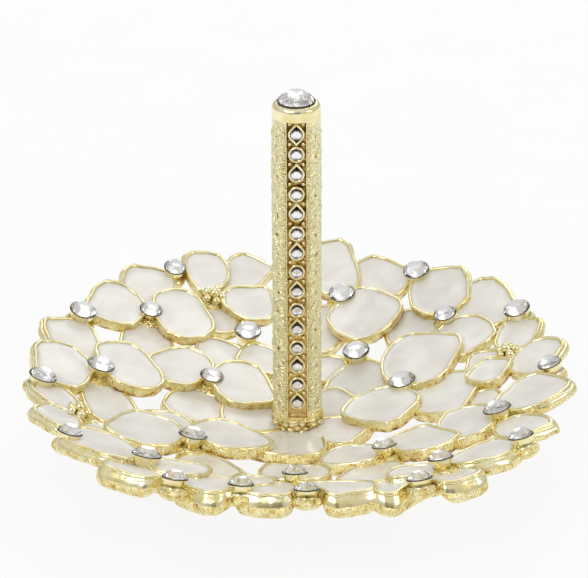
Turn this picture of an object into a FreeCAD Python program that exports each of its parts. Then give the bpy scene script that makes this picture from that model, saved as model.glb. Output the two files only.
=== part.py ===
import FreeCAD, Part
import math
import os

# A ring holder: a shallow openwork dish of enamelled blossoms round one upright post.
# The origin is on the table under the middle of the dish, +Z is up and -Y is the front.
# All sizes are in millimetres. A table whose name ends in shares gives places and spans as
# shares of the dish's rim radius, with headings in degrees and layers counted from below.

# Dish
rim_radius = 53.0
bowl_rise = 14.3
bowl_power = 1.4
petal_top_height = 4.8
layer_step = 0.7
petal_thickness = 2.4
rim_petal_thickness = 3.8
petal_rim_width = 0.8
pocket_depth = 0.6
enamel_recess = 0.15
hub_overhang = 0.9
root_reach_share = 0.6
overrun = 1.0
crumb_volume = 0.4

# Stones and their cups
large_stone_diameter = 5.0
small_stone_diameter = 4.2
stone_crown_height = 1.0
stone_seat_depth = 0.5
cup_wall = 0.3
cup_foot_share = 0.74
stone_table_share = 0.56
stone_facets = 8
cup_facets = 8

# Beads of the knots
bead_diameter = 2.0
beads_per_knot = 6
bead_rise_share = 0.8
bead_end_share = 0.6
bead_facets = 5

# Post
post_diameter = 9.2
post_top_height = 72.0
post_shoulder = 0.6
collar_wall = 0.8
collar_height = 4.0
collar_foot_share = 0.9
collar_facets = 12
channel_width = 3.6
channel_depth = 1.9
channel_foot_gap = 3.3
top_band_height = 2.6
strip_thickness = 0.6
collet_height = 0.6
collet_diameter = 3.1
collet_point_length = 0.55
strip_stone_diameter = 2.2
strip_stone_height = 0.6
strip_stone_pitch = 4.0
strip_end_gap = 2.8
strip_margin = 0.05
crown_stone_diameter = 7.8
crown_stone_height = 2.2
crown_seat_depth = 0.6
crown_facets = 12

# Fastening and feet
screw_diameter = 3.0
screw_engagement = 9.0
screw_clearance = 0.1
screw_head_diameter = 5.6
screw_head_height = 1.6
screw_facets = 12
slot_width = 0.8
slot_depth = 0.6
centre_hub_radius = 6.0
foot_diameter = 4.0
foot_toe_diameter = 3.0
foot_sink = 1.0

# Each floret: the place of its middle, what stands there, and its petals. A petal is given by
# the place of its middle, its heading, its length along that heading, its width and its layer.
floret_shares = {
    "floret_back_left": ((-0.33, 0.69), "knot", (
        (-0.36, 0.83, 110, 0.20, 0.17, 2), (-0.20, 0.86, 60, 0.17, 0.18, 1),
        (-0.18, 0.67, 5, 0.18, 0.19, 2), (-0.305, 0.61, 280, 0.20, 0.15, 0))),
    "floret_left_back": ((-0.575, 0.525), "small", (
        (-0.585, 0.68, 95, 0.26, 0.21, 1), (-0.705, 0.53, 165, 0.22, 0.24, 2),
        (-0.455, 0.54, 25, 0.21, 0.28, 3), (-0.575, 0.37, 270, 0.22, 0.20, 0))),
    "floret_left": ((-0.74, 0.06), "large", (
        (-0.84, 0.23, 118, 0.30, 0.21, 1), (-0.87, 0.02, 185, 0.22, 0.30, 2),
        (-0.64, 0.13, 30, 0.22, 0.30, 3), (-0.68, -0.14, 287, 0.30, 0.20, 0))),
    "floret_inner_left": ((-0.33, 0.19), "small", (
        (-0.44, 0.24, 140, 0.21, 0.25, 2), (-0.29, 0.36, 75, 0.19, 0.21, 1),
        (-0.215, 0.18, 20, 0.22, 0.26, 3), (-0.38, 0.02, 255, 0.22, 0.22, 0))),
    "floret_behind_post": ((-0.02, 0.33), "bare", (
        (-0.13, 0.37, 150, 0.20, 0.15, 1), (0.105, 0.315, 0, 0.18, 0.15, 1),
        (0.0, 0.45, 90, 0.20, 0.18, 0), (-0.02, 0.22, 270, 0.18, 0.20, 0))),
    "floret_back_right": ((0.18, 0.70), "large", (
        (0.138, 0.86, 100, 0.31, 0.21, 2), (0.315, 0.785, 50, 0.25, 0.25, 1),
        (0.26, 0.585, 320, 0.25, 0.275, 3), (0.10, 0.56, 240, 0.26, 0.20, 0))),
    "floret_right_back": ((0.58, 0.49), "small", (
        (0.563, 0.655, 85, 0.27, 0.235, 2), (0.73, 0.53, 20, 0.21, 0.30, 1),
        (0.45, 0.50, 170, 0.20, 0.22, 0), (0.64, 0.375, 300, 0.23, 0.21, 1))),
    "floret_inner_right": ((0.40, 0.115), "large", (
        (0.47, 0.25, 67, 0.32, 0.28, 3), (0.25, 0.21, 144, 0.26, 0.24, 1),
        (0.32, -0.02, 228, 0.25, 0.27, 3), (0.55, 0.0, 335, 0.23, 0.29, 1))),
    "floret_right": ((0.79, 0.16), "knot", (
        (0.836, 0.27, 67, 0.21, 0.17, 1), (0.885, 0.08, 330, 0.19, 0.23, 1),
        (0.71, 0.055, 230, 0.15, 0.15, 2), (0.70, 0.18, 170, 0.14, 0.14, 0))),
    "floret_right_front": ((0.72, -0.34), "large", (
        (0.855, -0.22, 45, 0.24, 0.25, 2), (0.605, -0.33, 171, 0.22, 0.29, 2),
        (0.672, -0.13, 106, 0.20, 0.16, 0), (0.785, -0.485, 300, 0.19, 0.19, 1))),
    "floret_inner_front_right": ((0.31, -0.46), "small", (
        (0.20, -0.42, 160, 0.22, 0.23, 1), (0.435, -0.40, 35, 0.22, 0.27, 2),
        (0.25, -0.65, 250, 0.26, 0.20, 0))),
    "floret_front_right": ((0.49, -0.76), "small", (
        (0.63, -0.675, 38, 0.25, 0.19, 1), (0.40, -0.75, 180, 0.20, 0.16, 1),
        (0.52, -0.84, 300, 0.16, 0.17, 0), (0.30, -0.87, 240, 0.18, 0.14, 0))),
    "floret_front": ((-0.01, -0.78), "small", (
        (-0.01, -0.63, 90, 0.24, 0.24, 1), (-0.10, -0.88, 258, 0.20, 0.20, 1),
        (0.16, -0.88, 282, 0.20, 0.19, 1))),
    "floret_front_left": ((-0.20, -0.83), "bare", (
        (-0.155, -0.78, 80, 0.17, 0.15, 1), (-0.29, -0.86, 235, 0.22, 0.22, 1))),
    "floret_left_front": ((-0.52, -0.74), "large", (
        (-0.415, -0.74, 350, 0.22, 0.18, 2), (-0.68, -0.61, 150, 0.26, 0.22, 2),
        (-0.54, -0.79, 245, 0.18, 0.22, 1))),
    "floret_inner_front_left": ((-0.38, -0.375), "large", (
        (-0.255, -0.28, 45, 0.27, 0.28, 3), (-0.46, -0.22, 110, 0.24, 0.19, 1),
        (-0.55, -0.34, 165, 0.23, 0.32, 2), (-0.305, -0.58, 295, 0.27, 0.21, 0))),
    "floret_left_knot": ((-0.78, -0.33), "knot", (
        (-0.87, -0.22, 130, 0.19, 0.15, 1), (-0.84, -0.405, 220, 0.15, 0.19, 1),
        (-0.665, -0.43, 325, 0.21, 0.16, 0))),
    "floret_centre": ((0.0, 0.0), "bare", (
        (0.12, 0.08, 40, 0.21, 0.21, 1), (0.14, -0.11, 325, 0.25, 0.23, 1),
        (-0.04, -0.23, 262, 0.27, 0.27, 1), (-0.175, 0.02, 175, 0.22, 0.26, 1))),
}

# One side of a petal's outline and of its pocket's, from the inner end to the outer end, as
# shares of the length from the inner end and of the width from the middle line.
petal_side_shares = ((0.0, 0.23), (0.26, 0.43), (0.56, 0.51), (0.85, 0.42), (0.99, 0.15))
root_half_share = 0.19
pocket_side_shares = ((0.0, 0.22), (0.44, 0.50), (0.77, 0.47), (0.96, 0.22))
rim_petal_share = 0.93

# Cups that stand by themselves among the petals: the place, the kind of stone and the height of
# the cup's top above the petals as a share of its stone's diameter.
single_cup_shares = (
    (-0.49, 0.80, "small", 0.38), (-0.83, 0.41, "large", 0.34), (-0.195, 0.495, "large", 0.34),
    (0.48, 0.78, "large", 0.34), (0.85, 0.40, "large", 0.32), (0.23, 0.37, "large", 0.34),
    (0.93, -0.05, "small", 0.30), (-0.93, -0.14, "large", 0.26), (-0.79, -0.60, "small", 0.26),
    (0.77, -0.65, "small", 0.24), (-0.41, -0.93, "small", 0.19), (0.405, -0.92, "small", 0.10),
    (-0.19, -0.93, "small", 0.19), (0.03, -0.96, "small", 0.10))
floret_cup_height_share = 0.40
foot_place_shares = ((0.23, 0.20), (-0.21, 0.20), (-0.35, -0.22), (0.19, -0.17))


def bowl_height(radius):
    """Height of the middle petal layer's top at a distance from the post."""
    return petal_top_height + bowl_rise * (radius / rim_radius) ** bowl_power


def bowl_normal(x, y):
    """Direction square to the bowl at a place in plan."""
    radius = math.hypot(x, y)
    if radius == 0:
        return FreeCAD.Vector(0, 0, 1)
    slope = bowl_power * bowl_rise / rim_radius * (radius / rim_radius) ** (bowl_power - 1)
    normal = FreeCAD.Vector(-slope * x / radius, -slope * y / radius, 1)
    return normal.normalize()


def on_bowl(x, y, heading, lift):
    """Placement whose Z is square to the bowl and whose X runs along the heading."""
    normal = bowl_normal(x, y)
    angle = math.radians(heading)
    ahead = FreeCAD.Vector(math.cos(angle), math.sin(angle), 0)
    ahead = (ahead - normal * ahead.dot(normal)).normalize()
    turn = FreeCAD.Rotation(ahead, normal.cross(ahead), normal, "ZXY")
    base = FreeCAD.Vector(x, y, bowl_height(math.hypot(x, y))) + normal * lift
    return FreeCAD.Placement(base, turn)


def prism(wire, bottom, top):
    """Solid from a flat wire in the XY plane, between two heights."""
    face = Part.Face(wire)
    face.translate(FreeCAD.Vector(0, 0, bottom))
    return face.extrude(FreeCAD.Vector(0, 0, top - bottom))


def petal_wire(side_shares, length, width, root=None):
    """Closed outline of a petal or a pocket about its middle, from the shares of one side. A root
    is the place that the inner end is drawn in to."""
    near = [((along - 0.5) * length, -across * width) for along, across in side_shares]
    far = [(x, -y) for x, y in reversed(near)]
    if root is not None:
        side = FreeCAD.Vector(-root.y, root.x, 0).normalize() * root_half_share * width
        near[0] = (root.x + side.x, root.y + side.y)
        far[-1] = (root.x - side.x, root.y - side.y)
    points = [FreeCAD.Vector(x, y, 0) for x, y in near + far + near[:1]]
    return Part.makePolygon(points)


def ring(radius, sides, height):
    """Corners of a regular polygon at a height."""
    turns = [2 * math.pi * (corner + 0.5) / sides for corner in range(sides)]
    return [FreeCAD.Vector(radius * math.cos(turn), radius * math.sin(turn), height) for turn in turns]


def ring_wire(radius, sides):
    points = ring(radius, sides, 0)
    return Part.makePolygon(points + points[:1])


def cut_gem(rings):
    """Flat-sided solid through a stack of polygons with the same number of corners."""
    faces = [Part.Face(Part.makePolygon(level + level[:1])) for level in (rings[0], rings[-1])]
    for low, high in zip(rings, rings[1:]):
        for one in range(len(low)):
            two = (one + 1) % len(low)
            side = [low[one], low[two], high[two], high[one], low[one]]
            faces.append(Part.Face(Part.makePolygon(side)))
    return Part.makeSolid(Part.makeShell(faces))


def boxes_meet(one, two):
    return one.BoundBox.intersect(two.BoundBox)


def cut_by(shape, tools):
    """The shape without the tools that reach it."""
    near = [tool for tool in tools if boxes_meet(shape, tool)]
    return shape.cut(near) if near else shape


def kept_solids(shape):
    """The solids of a cut shape, without the crumbs that a cut leaves."""
    return [solid for solid in shape.Solids if solid.Volume > crumb_volume]


def export(name, solids):
    Part.makeCompound(solids).exportStep("parts/" + name + ".step")


# Petals, hubs and cups

stone_diameters = {"large": large_stone_diameter, "small": small_stone_diameter}


def petal_pieces(place, row):
    """A petal's blank, drawn in to the hub, the void of its pocket and its enamel."""
    x, y, heading, length, width, layer = row
    x, y, length, width = (share * rim_radius for share in (x, y, length, width))
    at_rim = math.hypot(x, y) + length / 2 > rim_radius * rim_petal_share
    thickness = rim_petal_thickness if at_rim else petal_thickness
    seat = on_bowl(x, y, heading, (layer - 1) * layer_step)
    hub = seat.inverse().multVec(on_bowl(place[0] * rim_radius, place[1] * rim_radius, 0, 0).Base)
    hub.z = 0
    reach = hub.Length - root_reach_share * hub_radius(place, "small")
    root = FreeCAD.Vector(hub).normalize() * reach if reach > length / 2 else None
    blank = prism(petal_wire(petal_side_shares, length, width, root), -thickness, 0)
    pocket = petal_wire(pocket_side_shares, length - 2 * petal_rim_width, width - 2 * petal_rim_width)
    void = prism(pocket, -pocket_depth, overrun)
    enamel = prism(pocket, -pocket_depth, -enamel_recess)
    for solid in (blank, void, enamel):
        solid.Placement = seat
    return {"layer": layer, "body": blank, "void": void, "enamel": enamel}


def hub_radius(place, kind):
    """Radius of the plate in the middle of a floret."""
    if place == (0.0, 0.0):
        return centre_hub_radius
    return stone_diameters.get(kind, small_stone_diameter) / 2 + hub_overhang


def hub_piece(place, kind):
    """The plate in the middle of a floret, which its petals grow from."""
    plate = prism(ring_wire(hub_radius(place, kind), stone_facets), -petal_thickness, 0)
    plate.Placement = on_bowl(place[0] * rim_radius, place[1] * rim_radius, 0, 0)
    return plate


def cup_and_stone(x_share, y_share, kind, top, bottom):
    """A tapered round cup and the faceted stone seated in it."""
    radius = stone_diameters[kind] / 2
    outer = radius + cup_wall
    seat_height = top - stone_seat_depth
    cup = cut_gem([ring(outer * cup_foot_share, cup_facets, bottom), ring(outer, cup_facets, top)])
    cup = cup.cut(prism(ring_wire(radius, stone_facets), seat_height, top + overrun))
    stone = cut_gem([ring(radius, stone_facets, seat_height), ring(radius, stone_facets, top),
                     ring(radius * stone_table_share, stone_facets, top + stone_crown_height)])
    for solid in (cup, stone):
        solid.Placement = on_bowl(x_share * rim_radius, y_share * rim_radius, 0, 0)
    return cup, stone


def knot_beads(place):
    """A ring of beads round one larger bead, in the middle of a floret without a stone."""
    beads = []
    radius = bead_diameter / 2
    seat = on_bowl(place[0] * rim_radius, place[1] * rim_radius, 0, 0)
    for number in range(beads_per_knot):
        angle = 2 * math.pi * number / (beads_per_knot - 1)
        out = 0 if number == beads_per_knot - 1 else bead_diameter
        middle = FreeCAD.Vector(out * math.cos(angle), out * math.sin(angle), 0)
        bead = cut_gem([ring(radius * bead_end_share, bead_facets, 0),
                        ring(radius, bead_facets, radius * bead_rise_share),
                        ring(radius * bead_end_share, bead_facets, bead_diameter * bead_rise_share)])
        bead.translate(middle)
        bead.Placement = seat.multiply(bead.Placement)
        beads.append(bead)
    return beads


florets = []
for name, (place, kind, rows) in floret_shares.items():
    petals = [petal_pieces(place, row) for row in rows]
    petals.append({"layer": 1.5, "body": hub_piece(place, kind), "void": None, "enamel": None})
    florets.append({"name": name, "place": place, "kind": kind, "pieces": petals})

floret_cups = []
single_cups = []
stones = {"large": [], "small": []}
for floret in florets:
    kind = floret["kind"]
    if kind in stone_diameters:
        top = floret_cup_height_share * stone_diameters[kind]
        cup, stone = cup_and_stone(*floret["place"], kind, top, 0)
        floret_cups.append(cup)
        stones[kind].append(stone)
for x_share, y_share, kind, height_share in single_cup_shares:
    top = height_share * stone_diameters[kind]
    cup, stone = cup_and_stone(x_share, y_share, kind, top, -petal_thickness)
    single_cups.append(cup)
    stones[kind].append(stone)

beads = [bead for floret in florets if floret["kind"] == "knot" for bead in knot_beads(floret["place"])]

# Post

post_radius = post_diameter / 2
channel_floor = post_radius - channel_depth
channel_bottom_height = petal_top_height + channel_foot_gap
channel_top_height = post_top_height - top_band_height
shoulder_height = post_top_height - post_shoulder
column = Part.makeCylinder(post_radius, shoulder_height - petal_top_height,
                           FreeCAD.Vector(0, 0, petal_top_height))
shoulder = Part.makeCone(post_radius, post_radius - post_shoulder, post_shoulder,
                         FreeCAD.Vector(0, 0, shoulder_height))
column = column.fuse(shoulder)
channel = Part.makeBox(channel_width, channel_depth + overrun,
                       channel_top_height - channel_bottom_height,
                       FreeCAD.Vector(-channel_width / 2, -post_radius - overrun,
                                      channel_bottom_height))
bore = prism(ring_wire(screw_diameter / 2, screw_facets), petal_top_height - overrun,
             petal_top_height + screw_engagement)
crown_seat = prism(ring_wire(crown_stone_diameter / 2, crown_facets),
                   post_top_height - crown_seat_depth, post_top_height + overrun)
column = column.cut([channel, bore, crown_seat])

collar_radius = post_radius + collar_wall
collar_middle = petal_top_height + collar_height / 2
collar_top = petal_top_height + collar_height
collar = cut_gem([ring(collar_radius * collar_foot_share, collar_facets, petal_top_height),
                  ring(collar_radius, collar_facets, collar_middle),
                  ring(collar_radius * collar_foot_share, collar_facets, collar_top)])
collar = collar.cut(Part.makeCylinder(post_radius, post_top_height))

strip_front = channel_floor + strip_thickness
strip = Part.makeBox(channel_width - 2 * strip_margin, strip_thickness,
                     channel_top_height - channel_bottom_height - 2 * strip_margin,
                     FreeCAD.Vector(-channel_width / 2 + strip_margin, -strip_front,
                                    channel_bottom_height + strip_margin))
face_front = FreeCAD.Rotation(FreeCAD.Vector(1, 0, 0), 90)


def collet_wire(pointed):
    """Outline of a small bezel: eight-sided, or drawn out to a point above."""
    points = ring(collet_diameter / 2, stone_facets, 0)
    if pointed:
        tip = FreeCAD.Vector(0, collet_diameter / 2 + collet_point_length, 0)
        points = [point for point in points if point.y < collet_diameter / 2 * bead_end_share] + [tip]
        points.sort(key=lambda point: math.atan2(point.y, point.x))
    return Part.makePolygon(points + points[:1])


first_strip_stone_height = channel_bottom_height + strip_end_gap
strip_stone_run = channel_top_height - strip_end_gap / 2 - first_strip_stone_height
collets = []
strip_stones = []
for number in range(1 + int(strip_stone_run / strip_stone_pitch)):
    height = first_strip_stone_height + number * strip_stone_pitch
    seat = FreeCAD.Placement(FreeCAD.Vector(0, -strip_front, height), face_front)
    collet = prism(collet_wire(number % 2 == 0), 0, collet_height)
    radius = strip_stone_diameter / 2
    stone = cut_gem([ring(radius, bead_facets, collet_height),
                     ring(radius * stone_table_share, bead_facets, collet_height + strip_stone_height)])
    collet.Placement = seat
    stone.Placement = seat
    collets.append(collet)
    strip_stones.append(stone)

crown_seat_height = post_top_height - crown_seat_depth
crown_radius = crown_stone_diameter / 2
crown_stone = cut_gem([ring(crown_radius, crown_facets, crown_seat_height),
                       ring(crown_radius, crown_facets, post_top_height),
                       ring(crown_radius * stone_table_share, crown_facets,
                            post_top_height + crown_stone_height)])

# Screw and feet

hub_underside = petal_top_height - petal_thickness
shank = prism(ring_wire(screw_diameter / 2, screw_facets), hub_underside,
              petal_top_height + screw_engagement)
head = prism(ring_wire(screw_head_diameter / 2, screw_facets), hub_underside - screw_head_height,
             hub_underside)
slot = Part.makeBox(screw_head_diameter + 2 * overrun, slot_width, slot_depth + overrun,
                    FreeCAD.Vector(-screw_head_diameter / 2 - overrun, -slot_width / 2,
                                   hub_underside - screw_head_height - overrun))
screw = shank.fuse(head).removeSplitter().cut(slot)
screw_hole = prism(ring_wire(screw_diameter / 2 + screw_clearance, screw_facets),
                   hub_underside - overrun, petal_top_height + overrun)
post_socket = prism(ring_wire(collar_radius, collar_facets), petal_top_height,
                    petal_top_height + overrun)

feet = []
for x_share, y_share in foot_place_shares:
    x, y = x_share * rim_radius, y_share * rim_radius
    top = bowl_height(math.hypot(x, y)) - foot_sink
    foot = cut_gem([ring(foot_toe_diameter / 2, stone_facets, 0), ring(foot_diameter / 2, stone_facets, top)])
    foot.translate(FreeCAD.Vector(x, y, 0))
    feet.append(foot)

# Florets: each petal gives way to what lies above it

cups = floret_cups + single_cups
standing = cups + beads + [post_socket]
pieces = [(piece, floret) for floret in florets for piece in floret["pieces"]]
ranks = {id(piece): (piece["layer"], number) for number, (piece, _) in enumerate(pieces)}
enamels = []
for floret in florets:
    trimmed = []
    voids = []
    for piece in floret["pieces"]:
        rank = ranks[id(piece)]
        above = [other for other, _ in pieces if ranks[id(other)] > rank]
        foreign = [other["body"] for other, home in pieces
                   if ranks[id(other)] > rank and home is not floret]
        trimmed.append(cut_by(piece["body"], foreign + standing))
        if piece["void"] is not None:
            bodies = [other["body"] for other in above] + standing
            voids.append(cut_by(piece["void"], bodies))
            enamels.extend(kept_solids(cut_by(piece["enamel"], bodies)))
    casting = trimmed[0].fuse(trimmed[1:])
    casting = casting.cut(voids)
    if floret["name"] == "floret_centre":
        casting = casting.cut(screw_hole)
    floret["casting"] = kept_solids(casting.removeSplitter())

os.makedirs("parts", exist_ok=True)
castings = []
for floret in florets:
    export(floret["name"], floret["casting"])
    castings.extend(floret["casting"])
feet = [solid for foot in feet for solid in kept_solids(cut_by(foot, castings + cups))]
export("petal_enamel", enamels)
export("floret_cups", floret_cups)
export("single_cups", single_cups)
export("knot_beads", beads)
export("large_stones", stones["large"])
export("small_stones", stones["small"])
export("post_column", [column])
export("post_collar", [collar])
export("gallery_strip", [strip])
export("strip_collets", collets)
export("strip_stones", strip_stones)
export("crown_stone", [crown_stone])
export("post_screw", [screw])
export("feet", feet)
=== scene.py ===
import bmesh
import bpy
import math
from mathutils import Matrix, Vector, noise


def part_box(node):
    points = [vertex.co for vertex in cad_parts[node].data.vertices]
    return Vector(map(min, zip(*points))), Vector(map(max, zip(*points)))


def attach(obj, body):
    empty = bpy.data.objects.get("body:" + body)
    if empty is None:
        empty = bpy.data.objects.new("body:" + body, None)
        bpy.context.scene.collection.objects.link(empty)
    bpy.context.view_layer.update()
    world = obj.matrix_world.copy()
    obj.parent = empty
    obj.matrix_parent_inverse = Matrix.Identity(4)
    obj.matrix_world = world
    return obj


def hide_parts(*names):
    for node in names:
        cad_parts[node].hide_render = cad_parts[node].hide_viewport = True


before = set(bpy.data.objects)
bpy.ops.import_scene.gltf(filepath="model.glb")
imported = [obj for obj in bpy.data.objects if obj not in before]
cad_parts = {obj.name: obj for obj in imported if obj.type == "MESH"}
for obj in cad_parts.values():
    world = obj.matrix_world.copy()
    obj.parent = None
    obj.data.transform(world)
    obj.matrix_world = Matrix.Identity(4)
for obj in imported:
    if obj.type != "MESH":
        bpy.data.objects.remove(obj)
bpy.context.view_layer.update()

# A ring holder: an openwork dish of enamelled blossoms round one jewelled post. Lengths are in
# metres, written in millimetres. Tables whose names end in shares give places and spans as
# shares of the dish's rim radius, with headings in degrees and layers counted from below.
mm = 0.001

# Dish
rim_radius = 53 * mm
bowl_rise = 14.3 * mm
bowl_power = 1.4
petal_top_height = 4.8 * mm
layer_step = 0.7 * mm
petal_thickness = 2.4 * mm
rim_petal_share = 0.93
rim_cup_share = 0.9
hub_overhang = 0.9 * mm
centre_hub_radius = 6.0 * mm

# Stones, cups and beads
cup_wall = 0.3 * mm
cup_sides = 40
cup_foot_share = 0.64
stone_diameters = {"large": 5.0 * mm, "small": 4.2 * mm}
crown_stone_radius = 3.65 * mm
crown_stone_height = 1.6 * mm
crown_lift = 0.35 * mm
stone_crown_height = 1.1 * mm
stone_facets = 8
bead_diameter = 2.0 * mm
beads_round_knot = 5

# Post and its strip
channel_width = 3.6 * mm
channel_depth = 1.9 * mm
channel_foot_gap = 3.3 * mm
top_band_height = 2.6 * mm
strip_thickness = 0.6 * mm
strip_stone_pitch = 4.0 * mm
strip_end_gap = 2.8 * mm
collet_seat = 0.6 * mm
collet_radius = 1.62 * mm
collet_point_length = 0.7425 * mm
strip_stone_radius = 1.1 * mm
strip_crown_height = 0.24 * mm
strip_facets = 6

# Each floret: the place of its middle, what stands there, and its petals. A petal is given by
# the place of its middle, its heading, its length along that heading, its width and its layer.
floret_shares = {
    "floret_back_left": ((-0.33, 0.69), "knot", (
        (-0.36, 0.83, 110, 0.20, 0.17, 2), (-0.20, 0.86, 60, 0.17, 0.18, 1),
        (-0.18, 0.67, 5, 0.18, 0.19, 2), (-0.305, 0.61, 280, 0.20, 0.15, 0))),
    "floret_left_back": ((-0.575, 0.525), "small", (
        (-0.585, 0.68, 95, 0.26, 0.21, 1), (-0.705, 0.53, 165, 0.22, 0.24, 2),
        (-0.455, 0.54, 25, 0.21, 0.28, 3), (-0.575, 0.37, 270, 0.22, 0.20, 0))),
    "floret_left": ((-0.74, 0.06), "large", (
        (-0.84, 0.23, 118, 0.30, 0.21, 1), (-0.87, 0.02, 185, 0.22, 0.30, 2),
        (-0.64, 0.13, 30, 0.22, 0.30, 3), (-0.68, -0.14, 287, 0.30, 0.20, 0))),
    "floret_inner_left": ((-0.33, 0.19), "small", (
        (-0.44, 0.24, 140, 0.21, 0.25, 2), (-0.29, 0.36, 75, 0.19, 0.21, 1),
        (-0.215, 0.18, 20, 0.22, 0.26, 3), (-0.38, 0.02, 255, 0.22, 0.22, 0))),
    "floret_behind_post": ((-0.02, 0.33), "bare", (
        (-0.13, 0.37, 150, 0.20, 0.15, 1), (0.105, 0.315, 0, 0.18, 0.15, 1),
        (0.0, 0.45, 90, 0.20, 0.18, 0), (-0.02, 0.22, 270, 0.18, 0.20, 0))),
    "floret_back_right": ((0.18, 0.70), "large", (
        (0.138, 0.86, 100, 0.31, 0.21, 2), (0.315, 0.785, 50, 0.25, 0.25, 1),
        (0.26, 0.585, 320, 0.25, 0.275, 3), (0.10, 0.56, 240, 0.26, 0.20, 0))),
    "floret_right_back": ((0.58, 0.49), "small", (
        (0.563, 0.655, 85, 0.27, 0.235, 2), (0.73, 0.53, 20, 0.21, 0.30, 1),
        (0.45, 0.50, 170, 0.20, 0.22, 0), (0.64, 0.375, 300, 0.23, 0.21, 1))),
    "floret_inner_right": ((0.40, 0.115), "large", (
        (0.47, 0.25, 67, 0.32, 0.28, 3), (0.25, 0.21, 144, 0.26, 0.24, 1),
        (0.32, -0.02, 228, 0.25, 0.27, 3), (0.55, 0.0, 335, 0.23, 0.29, 1))),
    "floret_right": ((0.79, 0.16), "knot", (
        (0.836, 0.27, 67, 0.21, 0.17, 1), (0.885, 0.08, 330, 0.19, 0.23, 1),
        (0.71, 0.055, 230, 0.15, 0.15, 2), (0.70, 0.18, 170, 0.14, 0.14, 0))),
    "floret_right_front": ((0.72, -0.34), "large", (
        (0.855, -0.22, 45, 0.24, 0.25, 2), (0.605, -0.33, 171, 0.22, 0.29, 2),
        (0.672, -0.13, 106, 0.20, 0.16, 0), (0.785, -0.485, 300, 0.19, 0.19, 1))),
    "floret_inner_front_right": ((0.31, -0.46), "small", (
        (0.20, -0.42, 160, 0.22, 0.23, 1), (0.435, -0.40, 35, 0.22, 0.27, 2),
        (0.25, -0.65, 250, 0.26, 0.20, 0))),
    "floret_front_right": ((0.49, -0.76), "small", (
        (0.63, -0.675, 38, 0.25, 0.19, 1), (0.40, -0.75, 180, 0.20, 0.16, 1),
        (0.52, -0.84, 300, 0.16, 0.17, 0), (0.30, -0.87, 240, 0.18, 0.14, 0))),
    "floret_front": ((-0.01, -0.78), "small", (
        (-0.01, -0.63, 90, 0.24, 0.24, 1), (-0.10, -0.88, 258, 0.20, 0.20, 1),
        (0.16, -0.88, 282, 0.20, 0.19, 1))),
    "floret_front_left": ((-0.20, -0.83), "bare", (
        (-0.155, -0.78, 80, 0.17, 0.15, 1), (-0.29, -0.86, 235, 0.22, 0.22, 1))),
    "floret_left_front": ((-0.52, -0.74), "large", (
        (-0.415, -0.74, 350, 0.22, 0.18, 2), (-0.68, -0.61, 150, 0.26, 0.22, 2),
        (-0.54, -0.79, 245, 0.18, 0.22, 1))),
    "floret_inner_front_left": ((-0.38, -0.375), "large", (
        (-0.255, -0.28, 45, 0.27, 0.28, 3), (-0.46, -0.22, 110, 0.24, 0.19, 1),
        (-0.55, -0.34, 165, 0.23, 0.32, 2), (-0.305, -0.58, 295, 0.27, 0.21, 0))),
    "floret_left_knot": ((-0.78, -0.33), "knot", (
        (-0.87, -0.22, 130, 0.19, 0.15, 1), (-0.84, -0.405, 220, 0.15, 0.19, 1),
        (-0.665, -0.43, 325, 0.21, 0.16, 0))),
    "floret_centre": ((0.0, 0.0), "bare", (
        (0.12, 0.08, 40, 0.21, 0.21, 1), (0.14, -0.11, 325, 0.25, 0.23, 1),
        (-0.04, -0.23, 262, 0.27, 0.27, 1), (-0.175, 0.02, 175, 0.22, 0.26, 1))),
}

# Cups that stand by themselves among the petals: the place, the kind of stone and the height of
# the cup's top above the petals as a share of its stone's diameter.
single_cup_shares = (
    (-0.49, 0.80, "small", 0.38), (-0.83, 0.41, "large", 0.34), (-0.195, 0.495, "large", 0.34),
    (0.48, 0.78, "large", 0.34), (0.85, 0.40, "large", 0.32), (0.23, 0.37, "large", 0.34),
    (0.93, -0.05, "small", 0.30), (-0.93, -0.14, "large", 0.26), (-0.79, -0.60, "small", 0.26),
    (0.77, -0.65, "small", 0.24), (-0.41, -0.93, "small", 0.19), (0.405, -0.92, "small", 0.10),
    (-0.19, -0.93, "small", 0.19), (0.03, -0.96, "small", 0.10))
floret_cup_height_share = 0.40


# Places on the dish

def bowl_height(radius):
    """Height of the middle petal layer's top at a distance from the post."""
    return petal_top_height + bowl_rise * (radius / rim_radius) ** bowl_power


def on_bowl(x_share, y_share, heading=0, lift=0):
    """Matrix of a place on the dish: Z square to the bowl, X along the heading."""
    x, y = x_share * rim_radius, y_share * rim_radius
    radius = math.hypot(x, y)
    slope = bowl_power * bowl_rise / rim_radius * (radius / rim_radius) ** (bowl_power - 1)
    outward = Vector((x, y, 0)).normalized()
    normal = (Vector((0, 0, 1)) - slope * outward).normalized()
    angle = math.radians(heading)
    ahead = Vector((math.cos(angle), math.sin(angle), 0))
    ahead = (ahead - normal * ahead.dot(normal)).normalized()
    across = normal.cross(ahead)
    base = Vector((x, y, bowl_height(radius))) + normal * lift
    return Matrix.Translation(base) @ Matrix((ahead, across, normal)).transposed().to_4x4()


# Finishes

def linear(hex_colour):
    """An sRGB hex colour as the shader's linear colour."""
    parts = [int(hex_colour[i:i + 2], 16) / 255 for i in (1, 3, 5)]
    return [p / 12.92 if p <= 0.04045 else ((p + 0.055) / 1.055) ** 2.4 for p in parts] + [1]


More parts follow.
